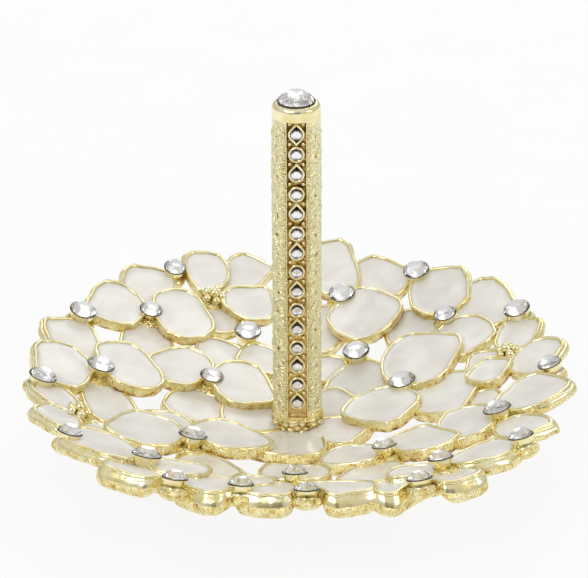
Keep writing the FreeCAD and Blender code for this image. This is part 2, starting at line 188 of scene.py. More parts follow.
def add(tree, kind, values=None, links=None, stops=None, **settings):
    """One node with its input values, the outputs linked to its inputs, and its own settings."""
    node = tree.nodes.new("ShaderNode" + kind)
    for name, value in settings.items():
        setattr(node, name, value)
    for name, value in (values or {}).items():
        node.inputs[name].default_value = linear(value) if isinstance(value, str) else value
    for name, (source, output) in (links or {}).items():
        tree.links.new(source.outputs[output], node.inputs[name])
    if stops:
        band = node.color_ramp.elements
        while len(band) < len(stops):
            band.new(0.5)
        for element, (place, colour) in zip(band, stops):
            element.position = place
            element.color = linear(colour)
    return node


def repeats(size):
    """Scale of a pattern whose marks are this size across."""
    return 1 / size


def finish(name, build):
    """A material whose nodes are added by a function."""
    material = bpy.data.materials.new(name)
    material.use_nodes = True
    tree = material.node_tree
    tree.nodes.clear()
    where = add(tree, "TexCoord")
    shader = build(tree, where)
    add(tree, "OutputMaterial", links={"Surface": (shader, 0)})
    return material


def polished_gold(tree, where):
    """Pale gold plate over tumbled castings: bright, with the soft dents, 2.4 mm across, that
    tumbling leaves."""
    dents = add(tree, "TexNoise", {"Scale": repeats(2.381 * mm), "Detail": 2},
                {"Vector": (where, "Object")})
    tone = add(tree, "ValToRGB", links={0: (dents, 0)}, stops=((0.32, "#EFE0A0"), (0.66, "#FBF4CF")))
    bump = add(tree, "Bump", {"Strength": 0.3, "Distance": 0.5 * mm}, {"Height": (dents, 0)})
    return add(tree, "BsdfPrincipled", {"Metallic": 1, "Roughness": 0.22},
               {"Base Color": (tone, 0), "Normal": (bump, 0)})


def grained_gold(tree, where):
    """The same plate where the mould's grain is left, 0.4 mm across, which is as fine as shows. It is
    darker between the grains. Painted shade, read from the mesh's marks, browns the hollows and crevices,
    and on the post and collar the crests get a painted highlight."""
    painted_shading_strength = -0.45
    grain_tint = -0.25
    grain = add(tree, "TexVoronoi", {"Scale": repeats(0.4 * mm)}, {"Vector": (where, "Object")})
    cloud = add(tree, "TexNoise", {"Scale": repeats(1.4286 * mm), "Detail": 3},
                {"Vector": (where, "Object")})
    # Painted shade and highlight: the mesh's mark darkens hollows and crevices and lightens raised crests.
    painted_shading = add(tree, "Attribute", attribute_name="painted_shading")
    tone_and_painted_light = add(tree, "Math", {1: painted_shading_strength}, {0: (painted_shading, "Fac"), 2: (cloud, 0)},
                 operation="MULTIPLY_ADD")
    between = add(tree, "Math", {1: grain_tint}, {0: (grain, "Distance"), 2: (tone_and_painted_light, 0)},
                  operation="MULTIPLY_ADD")
    tone = add(tree, "ValToRGB", links={0: (between, 0)},
               stops=((0.0, "#785A2A"), (0.14, "#C8A256"), (0.27, "#EED890"), (0.40, "#FAECAE"),
                      (0.56, "#FEF8CE")))
    bump = add(tree, "Bump", {"Strength": 0.7, "Distance": -0.4 * mm}, {"Height": (grain, 0)})
    return add(tree, "BsdfPrincipled", {"Metallic": 1, "Roughness": 0.3},
               {"Base Color": (tone, 0), "Normal": (bump, 0)})


def dark_gold(tree, where):
    """Antiqued gold in the post's channel: patches of patina 1.1 mm across, over painted light and shade by
    height, brown at the top and lightening to an orange gold lower down to offset the shade deep in the
    channel."""
    patch = add(tree, "TexNoise", {"Scale": repeats(1.111 * mm), "Detail": 4},
                {"Vector": (where, "Object")})
    place = add(tree, "SeparateXYZ", links={0: (where, "Object")})
    # Painted light and shade by height: darker at the top, lighter lower down where the channel lies in
    # shade.
    painted_light_by_height = add(tree, "MapRange",
               {"From Min": 15 * mm, "From Max": 65 * mm, "To Min": 0.14, "To Max": -0.12},
               {"Value": (place, "Z")})
    tone_and_painted_light = add(tree, "Math", links={0: (painted_light_by_height, 0), 1: (patch, 0)}, operation="ADD")
    tone = add(tree, "ValToRGB", links={0: (tone_and_painted_light, 0)},
               stops=((0.36, "#5A4420"), (0.50, "#BC944E"), (0.62, "#EBCD8A")))
    bump = add(tree, "Bump", {"Strength": 0.5, "Distance": 0.3 * mm}, {"Height": (patch, 0)})
    return add(tree, "BsdfPrincipled", {"Metallic": 1, "Roughness": 0.34},
               {"Base Color": (tone, 0), "Normal": (bump, 0)})


def pearl_enamel(tree, where):
    """Fired pearl enamel: milky and glossy, with faint clouds, 7 mm across, where the brush laid it
    thicker."""
    cloud = add(tree, "TexNoise", {"Scale": repeats(6.667 * mm), "Detail": 2, "Distortion": 0.5},
                {"Vector": (where, "Object")})
    tone = add(tree, "ValToRGB", links={0: (cloud, 0)},
               stops=((0.32, "#EBE6DD"), (0.5, "#F3EFE7"), (0.68, "#FAF7F1")))
    bump = add(tree, "Bump", {"Strength": 0.05, "Distance": 0.4 * mm}, {"Height": (cloud, 0)})
    return add(tree, "BsdfPrincipled", {"Roughness": 0.34, "Coat Weight": 0.7, "Coat Roughness": 0.16},
               {"Base Color": (tone, 0), "Normal": (bump, 0)})


def bezel_shadow(tree, where):
    """Painted shadow: the dark line in the gap between a stone and its cup, and the dark inside of a seat,
    in specks 0.8 mm across.
    """
    shadow_specks = add(tree, "TexNoise", {"Scale": repeats(0.8333 * mm), "Detail": 2},
               {"Vector": (where, "Object")})
    tone = add(tree, "ValToRGB", links={0: (shadow_specks, 0)}, stops=((0.35, "#40362A"), (0.7, "#766A55")))
    return add(tree, "BsdfPrincipled", {"Metallic": 0.7, "Roughness": 0.35}, {"Base Color": (tone, 0)})


def cut_crystal(tree, where):
    """Clear cut crystal with sharp polished facets."""
    return add(tree, "BsdfPrincipled", {"Base Color": "#FCFCFD", "Roughness": 0.0, "IOR": 1.56,
                                        "Transmission Weight": 1.0})


def mirror_foil(tree, where):
    """Mirror foil fired on the back of a crystal, which throws the light back out."""
    return add(tree, "BsdfPrincipled", {"Base Color": "#FBFAF8", "Metallic": 1, "Roughness": 0.12})


def zinc_steel(tree, where):
    """Zinc-plated steel of the screw: cool grey with a faint bloom in spots 1.1 mm across."""
    bloom = add(tree, "TexNoise", {"Scale": repeats(1.111 * mm), "Detail": 3},
                {"Vector": (where, "Object")})
    tone = add(tree, "ValToRGB", links={0: (bloom, 0)}, stops=((0.35, "#8F9295"), (0.7, "#C2C5C7")))
    return add(tree, "BsdfPrincipled", {"Metallic": 1, "Roughness": 0.34}, {"Base Color": (tone, 0)})


finishes = {build.__name__: finish(build.__name__, build)
            for build in (polished_gold, grained_gold, dark_gold, pearl_enamel, bezel_shadow,
                          cut_crystal, mirror_foil, zinc_steel)}


# Mesh work

def circle_outline(turn, row):
    """A place on a circle whose radius and height are the row's, and the row's finish."""
    return row[0] * math.cos(turn), row[0] * math.sin(turn), row[1], row[2]


def shell(rows, outline=circle_outline, count=32):
    """Closed skin through a stack of outlines, one for each row. The outline gives the place of a
    turn on the row and the finish of the band that ends there."""
    bm = bmesh.new()
    turns = bm.verts.layers.float.new("turn")
    bands = bm.verts.layers.float.new("band")
    # A mark for painted shade and highlight, which some pieces fill in and the grained gold reads.
    bm.verts.layers.float.new("painted_shading")
    bmesh.ops.create_circle(bm, cap_ends=False, radius=1, segments=count)
    verts = bm.verts[:]
    for vert in verts:
        vert[turns] = math.atan2(vert.co.y, vert.co.x)
    edges = bm.edges[:]
    for number, row in enumerate(rows):
        if number:
            made = bmesh.ops.extrude_edge_only(bm, edges=edges)["geom"]
            verts = [item for item in made if isinstance(item, bmesh.types.BMVert)]
            edges = [item for item in made if isinstance(item, bmesh.types.BMEdge) and item.is_boundary]
        for vert in verts:
            x, y, z, vert[bands] = outline(vert[turns], row)
            vert.co = Vector((x, y, z))
        for edge in edges:
            for face in edge.link_faces:
                face.material_index = round((edge.verts[0][bands] + edge.verts[1][bands]) / 2)
        if number in (0, len(rows) - 1):
            bmesh.ops.contextual_create(bm, geom=edges, mat_nr=round(verts[0][bands]))
    for face in bm.faces:
        face.smooth = True
    return bm


def place_part(target, part, matrix):
    """Adds one part's mesh to a larger mesh, in its place."""
    bmesh.ops.recalc_face_normals(part, faces=part.faces)
    bmesh.ops.transform(part, matrix=matrix, verts=part.verts)
    mesh = bpy.data.meshes.new("part")
    part.to_mesh(mesh)
    part.free()
    target.from_mesh(mesh)
    bpy.data.meshes.remove(mesh)


def piece(name, bm, finish_names, nodes=()):
    """A finished mesh that rides with the part and stands for CAD nodes."""
    mesh = bpy.data.meshes.new(name)
    bm.to_mesh(mesh)
    bm.free()
    for finish_name in finish_names:
        mesh.materials.append(finishes[finish_name])
    thing = bpy.data.objects.new(name, mesh)
    bpy.context.scene.collection.objects.link(thing)
    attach(thing, "root")
    if nodes:
        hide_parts(*nodes)
    return thing


def eased(share):
    """A share held between none and all, with soft ends."""
    share = max(0, min(1, share))
    return share * share * (3 - 2 * share)


def add_bead(target, radius, place, rings=5):
    """One small round bead."""
    bead = bmesh.new()
    bmesh.ops.create_uvsphere(bead, u_segments=2 * rings - 2, v_segments=rings, radius=radius)
    for face in bead.faces:
        face.smooth = True
    place_part(target, bead, place)


# Petals

# Outline. A petal's tune is an angle that makes its waves and bends its own. A wave has its number
# of crests, its reach as a share of the petal and how many times the tune turns it. The two
# corners' turns and their width are in radians.
petal_fullness = 1.06
petal_sides = 60
outer_roundness = 0.65
inner_roundness = 0.78
inner_taper = 0.90
outer_taper = 1.02
widest_share = 0.62
bend_share = 0.04
bend_tune = 2.3
corner_tune = 5
tune_by_x = 37
tune_by_y = 91
tune_round = 6.28
edge_waves = ((3, 0.020, 1), (5, 0.017, 2), (11, 0.009, 3), (17, 0.005, 5))
corner_turn = 0.72
corner_sway = 0.2
corner_width = 0.22
near_corner_reach = 0.028
far_corner_reach = 0.020
far_corner_offset = 0.15

# Wire edge and rolled lip: how much the wire's width varies and how far in, how squarely an edge
# faces the dish's rim where its lip is full, and the dents of the hand that rolled it. The height
# of the lip's body and the dents' reach are in the profile's millimetres.
wire_swell = 0.22
wire_waves = ((4, 1, 3), (9, 0.5, 1))
wire_swell_reach = 1.6 * mm
plain_rim_width = 0.9 * mm
full_lip_share = 0.8
lip_body_height = -0.5
dent_size = 2.4 * mm
dent_depth = 0.28 * mm
dent_reach = 1.2
dent_rise_share = 0.6
least_lip_share = 0.55
front_start = 0.55
front_run = 0.4

# Bending by hand: the reach of a petal's root, the cupping, the warp and the droop at the rim
root_gap = 1.4 * mm
pull_power = 1.5
cupping = 0.3 * mm
cupping_along = 0.7
cupping_across = 0.8
cupping_level = 0.6
warp = 0.14 * mm
warp_along = 2.6
warp_across = 2.9
lip_droop = 0.9 * mm
droop_power = 3
droop_gain = 1.2
back_lift_share = 0.3

# Painted shade low on a plain wall, for the shade in the crevices between petals
painted_shade_top = -0.9 * mm
painted_shade_run = 1.4 * mm
painted_shade_depth = 0.5
lip_side_share = 0.4

# How deep a petal is pressed under the one above it, and how far out from that one's middle the
# pressing starts and over what run it grows full
tuck_depth = 0.8 * mm
tuck_start = 1.25
tuck_run = 0.45


def taper(along):
    """How wide a petal is at a place along it, as a share of its width."""
    ripeness = math.sin(min((along + 0.5) / widest_share, 1) * math.pi / 2)
    return inner_taper + (outer_taper - inner_taper) * ripeness


def waved(waves, turn, tune):
    """Height of a row of waves at a turn."""
    return sum(reach * math.cos(crests * turn + times * tune) for crests, reach, times in waves)


def petal_edge(length, width, tune, rimward, fullness):
    """Outline of a petal: a broad rounded fan with a waved edge and a small corner on each side.
    A row gives the inset, height and finish of a plain edge and then of a rolled lip, which the
    petal has towards the dish's rim."""
    bend = bend_share * math.sin(bend_tune * tune + 1)
    corner = corner_turn + corner_sway * math.sin(corner_tune * tune)
    narrow = min(length, width) / 2

    def outline(turn, row):
        cos, sin = math.cos(turn), math.sin(turn)
        roundness = outer_roundness if cos > 0 else inner_roundness
        along = math.copysign(abs(cos) ** roundness, cos) / 2
        across = math.copysign(abs(sin) ** roundness, sin) / 2 * taper(along)
        wave = 1 + waved(edge_waves, turn, tune)
        wave += near_corner_reach * math.exp(-((turn - corner) / corner_width) ** 2)
        wave += far_corner_reach * math.exp(-((turn + corner + far_corner_offset) / corner_width) ** 2)
        across += bend * 4 * along * along
        lip = 0
        if rimward:
            facing = Vector((cos / length, sin / width)).normalized().dot(rimward)
            lip = eased(facing / full_lip_share)
        inset = row[0] * mm
        swell = wire_swell * waved(wire_waves, turn, tune)
        inset *= 1 + swell * max(0, 1 - inset / wire_swell_reach)
        height = row[1] * mm
        if lip:
            rolled = row[4] * mm * (fullness if row[4] < lip_body_height else 1)
            spot = Vector((along * length, across * width, rolled))
            grip = noise.noise(spot / dent_size + Vector((tune, 0, 0)))
            grip *= dent_depth * max(0, 1 - row[0] / dent_reach)
            inset += (row[3] * mm + grip - inset) * lip
            height += (rolled + grip * dent_rise_share - height) * lip
        deep = min(max((inset - plain_rim_width) / (narrow - plain_rim_width), 0), 1)
        inset_along = inset + inset * (length / 2 / narrow - 1) * deep
        inset_across = inset + inset * (width / 2 / narrow - 1) * deep
        finish_band = row[2] + (row[5] - row[2]) * lip
        return (along * (length - 2 * inset_along) * wave, across * (width - 2 * inset_across) * wave,
                height, finish_band)

    return outline


def shape_by_hand(bm, seat, hub, length, width, tune, rimward, droop):
    """Draws a petal's inner end in to its blossom's middle and bends the petal a little, as if
    each had been pressed by hand."""
    root = (seat.inverted() @ hub).to_2d()
    root *= max(0, 1 - root_gap / root.length)
    pull = root + Vector((length / 2, 0))
    if pull.x > 0:
        pull = Vector((0, 0))
    painted_shading = bm.verts.layers.float["painted_shading"]
    for vert in bm.verts:
        u = 2 * vert.co.x / length
        v = 2 * vert.co.y / width
        # Painted shade on the lower part of a plain wall, where the crevices between petals lie in shade;
        # the rimward lip is left out.
        if not rimward or Vector((u, v)).dot(rimward) < lip_side_share:
            vert[painted_shading] = painted_shade_depth * eased((painted_shade_top - vert.co.z) / painted_shade_run)
        if u < 0:
            vert.co.x += pull.x * (-u) ** pull_power
            vert.co.y += pull.y * (-u) ** pull_power
        vert.co.z += cupping * (cupping_along * u * u + cupping_across * v * v - cupping_level)
        vert.co.z += warp * math.sin(warp_along * u + tune) * math.cos(warp_across * v + 2 * tune)
        if rimward:
            vert.co.z -= droop * max(0, Vector((u, v)).dot(rimward)) ** droop_power


# Rows from the middle of the pocket's floor, over the rim and down the wall to the middle of the
# underside, in millimetres: inset, height and finish of a plain edge, then of a rolled lip
petal_profile = (
    (2.20, -0.90, 0, 2.70, -0.90, 0), (0.84, -0.60, 0, 1.05, -0.45, 0), (0.78, -0.12, 0, 1.00, 0.00, 0),
    (0.66, 0.05, 0, 0.86, 0.20, 0), (0.50, 0.13, 0, 0.64, 0.26, 0), (0.28, 0.13, 0, 0.40, 0.20, 0),
    (0.10, 0.02, 0, 0.30, -0.02, 0), (0.00, -0.18, 0, 0.36, -0.24, 1), (0.00, -0.50, 1, 0.30, -0.46, 0),
    (0.00, -0.90, 1, 0.04, -0.78, 0), (0.02, -1.30, 1, -0.16, -1.30, 0), (0.06, -1.70, 1, -0.26, -1.95, 0),
    (0.16, -2.05, 1, -0.26, -2.60, 1), (0.36, -2.32, 1, -0.16, -3.20, 1), (0.70, -2.50, 1, 0.14, -3.85, 1),
    (1.30, -2.58, 1, 0.85, -4.40, 1), (2.40, -2.50, 1, 2.40, -3.60, 1))
enamel_profile = (
    (1.30, -1.20, 0, 1.40, -1.20, 0), (0.72, -0.08, 0, 0.98, -0.04, 0), (0.95, -0.17, 0, 1.20, -0.14, 0),
    (1.50, -0.20, 0, 1.60, -0.20, 0), (2.10, -0.17, 0, 2.20, -0.17, 0), (2.70, -0.14, 0, 2.70, -0.14, 0),
    (3.30, -0.11, 0, 3.30, -0.11, 0), (3.90, -0.09, 0, 3.90, -0.09, 0), (4.50, -0.07, 0, 4.50, -0.07, 0),
    (5.10, -0.06, 0, 5.10, -0.06, 0), (5.70, -0.06, 0, 5.70, -0.06, 0), (6.30, -0.06, 0, 6.30, -0.06, 0))

# Rows further in than this share of a petal's narrower span are left out
profile_room_share = 0.47

# Rows of the plate under a blossom's middle: share of its radius and height in millimetres
hub_profile = ((0.5, -2.4), (0.85, -2.4), (1, -2.0), (1, -1.2), (0.94, -0.75), (0.8, -0.50), (0.4, -0.2))

petal_rows = [row for place, kind, rows in floret_shares.values() for row in rows]
petal_rows.sort(key=lambda row: row[5])
petal_order = {row: number for number, row in enumerate(petal_rows)}
petal_seats = {row: on_bowl(row[0], row[1], row[2], (row[5] - 1) * layer_step) for row in petal_rows}


def tuck_under(bm, seat, row):
    """Presses a petal down where another one lies over it."""
    for over in petal_order:
        apart = math.hypot(over[0] - row[0], over[1] - row[1])
        if petal_order[over] <= petal_order[row] or apart > (over[3] + over[4] + row[3] + row[4]) / 2:
            continue
        into = petal_seats[over].inverted() @ seat
        back = into.inverted()
        half_length, half_width = over[3] * rim_radius / 2, over[4] * rim_radius / 2
        for vert in bm.verts:
            spot = into @ vert.co
            along = max(-0.5, min(0.5, spot.x / half_length / 2))
            roundness = outer_roundness if along > 0 else inner_roundness
            size = abs(spot.x / half_length) ** (2 / roundness)
            size += abs(spot.y / half_width / taper(along)) ** (2 / roundness)
            cover = min(1, (tuck_start - size) / tuck_run)
            if cover > 0 and spot.z > -tuck_depth:
                spot.z += (-tuck_depth - spot.z) * cover
                vert.co = back @ spot


def build_petal(gold, glaze, hub, row):
    """One petal's gold with its wire edge and one filling of enamel. Its tune, an angle that
    comes from its place, makes its waves and dents its own."""
    x, y, _, length, width, _ = row
    tune = (tune_by_x * x + tune_by_y * y) % tune_round
    seat = petal_seats[row]
    rimward = None
    if math.hypot(x, y) + length / 2 > rim_petal_share:
        rimward = (seat.to_3x3().transposed() @ Vector((x, y, 0))).to_2d().normalized()
    frontward = -y / math.hypot(x, y)
    fullness = least_lip_share + (1 - least_lip_share) * eased((frontward - front_start) / front_run)
    droop = lip_droop * max(-back_lift_share, min(1, droop_gain * frontward))
    length, width = length * rim_radius * petal_fullness, width * rim_radius * petal_fullness
    outline = petal_edge(length, width, tune, rimward, fullness)
    room = min(length, width) * profile_room_share
    for target, profile in ((gold, petal_profile), (glaze, enamel_profile)):
        part = shell([line for line in profile if line[0] * mm < room], outline, petal_sides)
        shape_by_hand(part, seat, hub, length, width, tune, rimward, droop)
        tuck_under(part, seat, row)
        place_part(target, part, seat)


glaze = bmesh.new()
for name, (place, kind, rows) in floret_shares.items():
    gold = bmesh.new()
    for row in rows:
        build_petal(gold, glaze, on_bowl(*place).translation, row)
    hub = stone_diameters.get(kind, stone_diameters["small"]) / 2 + hub_overhang
    if name == "floret_centre":
        hub = centre_hub_radius
    plate = shell([(hub * share, height * mm, 1) for share, height in hub_profile], count=cup_sides)
    place_part(gold, plate, on_bowl(*place))
    piece(name + "_casting", gold, ("polished_gold", "grained_gold"), (name,))
piece("pearl_fillings", glaze, ("pearl_enamel",), ("petal_enamel",))


# Stones, cups and beads

# Rings of corners of a stone's crown and of its foil: reach and rise as shares of the radius and
# height, turn in facets, and corners for each facet. A stone's back lies just outside its foil.
crown_rings = ((1, -0.06, 0, 2), (1, 0, 0, 2), (0.8, 0.46, 0.5, 1), (0.5, 1, 0, 1))
back_reach_share = 0.2
back_depth_share = 0.35
back_drop_share = 0.08
foil_rings = ((0.99, 0, 0, 2), (0.6, -0.5, 0.5, 1), (0.12, -1, 0, 1))
foil_depth_share = 0.3
foil_drop_share = 0.065


def cut_rings(rings, radius, height, facets):
    """Hull of rings of corners. A ring gives its reach and rise as shares of the radius and the
    height, its turn in facets and how many corners it has for each facet."""
    bm = bmesh.new()
    for reach, rise, turn, corners in rings:
        count = corners * facets
        spin = Matrix.Rotation(2 * math.pi * turn / count, 4, "Z")
        bmesh.ops.create_circle(bm, cap_ends=False, radius=radius * reach, segments=count,
                                matrix=Matrix.Translation((0, 0, rise * height)) @ spin)
    bmesh.ops.delete(bm, geom=bm.edges[:], context="EDGES_FACES")
    bmesh.ops.convex_hull(bm, input=bm.verts, use_existing_faces=False)
    return bm


def brilliant(radius, height, facets):
    """A round brilliant: table, star, kite and girdle facets over a shallow pointed back."""
    back = (back_reach_share, -back_drop_share - back_depth_share * radius / height, 0, 1)
    return cut_rings((back,) + crown_rings, radius, height, facets)


def foil_back(radius, depth, facets):
    """The silvered faceted cone behind a crystal."""
    return cut_rings(foil_rings, radius, depth, facets)


# Rows of a cup: its skirt as a share of the cup's radius and a rise above the foot in millimetres,
# and its lip and seat as an inset and a drop below the top in millimetres, with the finish
skirt_profile = ((0.512, -1.0), (0.832, -0.7), (1.12, 0.0), (1.14, 0.7), (1.0, 1.2))
skirt_top = 1.3 * mm
# Rows with finish 1 are painted shadow: the dark line under the stone's edge and the cup's dark seat.
cup_lip_profile = ((0.04, 0.36, 0), (0.0, 0.24, 0), (0.04, 0.20, 1), (0.06, 0.06, 1), (0.14, 0.45, 1))
cup_belly_share = 0.55
cup_floor_share = 0.3
cup_floor_depth = 1.5 * mm
floret_cup_depth = 0.6 * mm
stone_margin = 0.08 * mm
stone_turn = 140

foils = bmesh.new()
gems = {kind: bmesh.new() for kind in ("large", "small", "strip", "crown")}


def set_stone(group, radius, crown, facets, seat):
    """A crystal and its foil, set at a place whose Z is the stone's axis."""
    place_part(gems[group], brilliant(radius, crown, facets), seat)
    below = Matrix.Translation((0, 0, -foil_drop_share * crown))
    place_part(foils, foil_back(radius, radius * foil_depth_share, facets), seat @ below)


def build_cup(cups, place, kind, height, foot, skirted):
    """A tapered cup, the dark line under its stone's edge, which is painted shadow, and the stone. A cup on
    the rim also has a cast skirt round its foot."""
    outer = stone_diameters[kind] / 2 + cup_wall
    low = outer * cup_foot_share
    rows = []
    if skirted:
        rows += [(outer * share, rise * mm - foot, 2) for share, rise in skirt_profile]
    rows.append((low, skirt_top - foot if skirted else -foot, 0))
    rows.append((low + (outer - low) * cup_belly_share, (height - foot) / 2, 0))
    rows += [(outer - inset * mm, height - drop * mm, band) for inset, drop, band in cup_lip_profile]
    rows.append((outer * cup_floor_share, height - cup_floor_depth, 1))
    place_part(cups, shell(rows, count=cup_sides), on_bowl(*place))
    seat = on_bowl(*place, stone_turn * place[0], height)
    set_stone(kind, outer - stone_margin, stone_crown_height, stone_facets, seat)


floret_cups = bmesh.new()
for place, kind, rows in floret_shares.values():
    if kind in stone_diameters:
        height = floret_cup_height_share * stone_diameters[kind]
        build_cup(floret_cups, place, kind, height, floret_cup_depth, False)
piece("blossom_cups", floret_cups, ("polished_gold", "bezel_shadow"), ("floret_cups",))
single_cups = bmesh.new()
for x_share, y_share, kind, height_share in single_cup_shares:
    height = height_share * stone_diameters[kind]
    on_rim = math.hypot(x_share, y_share) > rim_cup_share
    build_cup(single_cups, (x_share, y_share), kind, height, petal_thickness, on_rim)
piece("separate_cups", single_cups, ("polished_gold", "bezel_shadow", "grained_gold"),
      ("single_cups",))

# Beads of a knot: a ring of them and one on top, in three sizes by turns
knot_reach = 0.85 * bead_diameter
knot_ring_height = 0.5 * mm
knot_top_height = 1.2 * mm
bead_size_shares = (0.85, 0.95, 1.05)
knot_bead_rings = 10
beads = bmesh.new()
for place, kind, rows in floret_shares.values():
    if kind == "knot":
        for number in range(beads_round_knot + 1):
            on_top = number == beads_round_knot
            angle = 2 * math.pi * number / beads_round_knot
            out = 0 if on_top else knot_reach
            rise = knot_top_height if on_top else knot_ring_height
            spot = Matrix.Translation((out * math.cos(angle), out * math.sin(angle), rise))
            radius = bead_diameter / 2 * bead_size_shares[number % len(bead_size_shares)]
            add_bead(beads, radius, on_bowl(*place) @ spot, knot_bead_rings)
piece("knot_of_beads", beads, ("polished_gold",), ("knot_beads",))


# Post

column_low, column_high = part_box("post_column")
post_radius = (column_high.x - column_low.x) / 2
post_top = column_high.z
channel_low = petal_top_height + channel_foot_gap
channel_high = post_top - top_band_height
channel_floor = post_radius - channel_depth
strip_front = channel_floor + strip_thickness
channel_turn = math.asin(channel_width / 2 / post_radius)
notch_low = channel_low - 1.1 * mm
flange_high = channel_low + 1.2 * mm
flange_swell = 0.55 * mm
post_sides = 180
post_row_step = 0.19 * mm
shoulder_radius = 1.0 * mm
shoulder_steps = 8
core_share = 0.8
core_foot_share = 0.6
polished_flare = 0.1 * mm
band_edge = 0.06 * mm
seat_margin = 0.02 * mm
seat_floor_share = 0.3

# The channel's section: how much of its width its floor takes, how much of a side's run keeps the
# polish of the post's edge, and how far the floor stands out behind the strip's foot
floor_share = 0.55
edge_polish_share = 0.12
foot_floor_lift = 0.3 * mm

# Relief of the post's side: the border beside the channel, the beads' groove and a line, by
# where each ends and how high it stands, and then the strands, their pits and the ribs
border_width = 0.3 * mm
border_height = 0.04 * mm
groove_end = 0.75 * mm
groove_height = -0.14 * mm
line_end = 0.95 * mm
line_height = 0.12 * mm
strand_sway = 1.1 * mm
strand_width = 0.26 * mm
strand_height = 0.30 * mm
pit_radius = 0.30 * mm
pit_depth = 0.40 * mm
rib_gap = 0.3 * mm
rib_pitch = 1.2 * mm
rib_height = 0.12 * mm
rib_slant = 1.2
fine_grain_size = 0.34 * mm
fine_grain_height = 0.17 * mm
coarse_grain_size = 0.8 * mm
coarse_grain_height = 0.10 * mm
# Painted shading of the relief: how deep a hollow is for full painted shade, an offset, and the most
# painted highlight on crests
painted_shading_relief = 0.24 * mm
painted_shading_ease = 0.5
least_painted_shading = -0.75
arch_rise = 1.7 * mm
arch_fade = 1.6 * mm
foot_fade = 1.0 * mm
relief_start_share = 0.98
relief_top_gap = 0.01 * mm
relief_bands = 5
band_width = (2 * math.pi - 2 * channel_turn) / relief_bands * post_radius

# Rows of the top stone's dark seat, a painted shadow under its edge: inset from the shoulder's edge and
# rise above the post, in millimetres
crown_seat_profile = ((0.02, 0.0), (0.02, 0.31), (0.08, 0.05))
crown_seat_depth = 1.6 * mm


def channelled_outline(turn, row):
    """A circle with a square channel at the front, drawn only where the row asks for it."""
    off = (turn + math.pi / 2 + math.pi) % (2 * math.pi) - math.pi
    radius, height, band, channelled = row
    if not channelled or abs(off) >= channel_turn:
        return radius * math.cos(turn), radius * math.sin(turn), height, band
    share = off / channel_turn
    floor_at = channel_floor if height > channel_low else strip_front + foot_floor_lift
    if abs(share) > floor_share:
        depth = (1 - abs(share)) / (1 - floor_share)
        wall = radius * math.cos(channel_turn)
        band = 2 if depth > edge_polish_share else 0
        return math.copysign(channel_width / 2, share), -(wall + (floor_at - wall) * depth), height, band
    return share / floor_share * channel_width / 2, -floor_at, height, 2


def post_relief(off, height):
    """Relief of the post's side at an angle from the front: a flat border beside the channel, a
    groove for its beads, a thin line, and then two strands that cross between pits, with ribs
    outside them."""
    from_edge = (abs(off) - channel_turn) * post_radius
    if from_edge < border_width:
        return border_height
    if from_edge < groove_end:
        return groove_height
    if from_edge < line_end:
        return line_height
    across = (from_edge / band_width % 1 - 0.5) * band_width
    phase = (height - channel_low) / strip_stone_pitch
    strand = strand_sway * math.sin(math.pi * phase)
    near = min(abs(across - strand), abs(across + strand))
    relief = strand_height * math.exp(-(near / strand_width) ** 2)
    eye = math.hypot(across, (phase % 1 - 0.5) * strip_stone_pitch)
    relief -= pit_depth * math.exp(-(eye / pit_radius) ** 2)
    if abs(across) > abs(strand) + rib_gap:
        relief += rib_height * math.cos(2 * math.pi * (height + rib_slant * abs(across)) / rib_pitch)
    return relief


def build_column():
    """The post: a thin core inside the collar, a round column with a square channel and relief all over, a
    polished shoulder and the dark seat of the top stone, which is painted shadow. The relief carries
    painted shade in its hollows and a painted highlight on its crests. The channel starts above the first
    rows, which close it below."""
    core = post_radius * core_share
    rows = [(post_radius * core_foot_share, petal_top_height, 1, False), (core, petal_top_height, 1, False),
            (core, notch_low, 1, False)]
    closed_rows = len(rows) + 2
    height = notch_low
    while height < channel_high:
        flare = flange_swell * eased((flange_high - height) / (flange_high - notch_low))
        band = 0 if flare > polished_flare else 1
        rows.append((post_radius + flare, height, band, len(rows) >= closed_rows))
        height += post_row_step
    rows.append((post_radius, channel_high, 0, False))
    rows.append((post_radius, channel_high + band_edge, 0, False))
    rows.append((post_radius, post_top - shoulder_radius, 0, False))
    inner = crown_stone_radius - seat_margin
    for turn_step in range(1, shoulder_steps + 1):
        angle = math.pi / 2 * turn_step / shoulder_steps
        rows.append((inner + (post_radius - inner) * math.cos(angle),
                     post_top - shoulder_radius + shoulder_radius * math.sin(angle), 0, False))
    for inset, rise in crown_seat_profile:
        rows.append((inner - inset * mm, post_top + rise * mm, 3, False))
    rows.append((crown_stone_radius * seat_floor_share, post_top - crown_seat_depth, 3, False))
    column = shell(rows, channelled_outline, post_sides)
    painted_shading = column.verts.layers.float["painted_shading"]
    for vert in column.verts:
        height = vert.co.z
        out = math.hypot(vert.co.x, vert.co.y)
        off = math.atan2(vert.co.x, -vert.co.y)
        in_channel = abs(off) < channel_turn * relief_start_share
        if in_channel or not petal_top_height < height < channel_high - relief_top_gap:
            continue
        edge = channel_high - arch_rise * (1 - math.cos(off))
        fade = eased((edge - height) / arch_fade) * eased((height - channel_low) / foot_fade)
        relief = post_relief(off, height)
        relief += noise.noise(vert.co / fine_grain_size) * fine_grain_height
        relief += noise.noise(vert.co / coarse_grain_size) * coarse_grain_height
        relief *= fade
        # Painted shade in the relief's hollows and painted highlight on its crests.
        vert[painted_shading] = max(least_painted_shading, min(1, -relief / painted_shading_relief - painted_shading_ease))
        vert.co.x *= 1 + relief / out
        vert.co.y *= 1 + relief / out
    piece("jewelled_column", column, ("polished_gold", "grained_gold", "dark_gold", "bezel_shadow"),
          ("post_column",))


build_column()

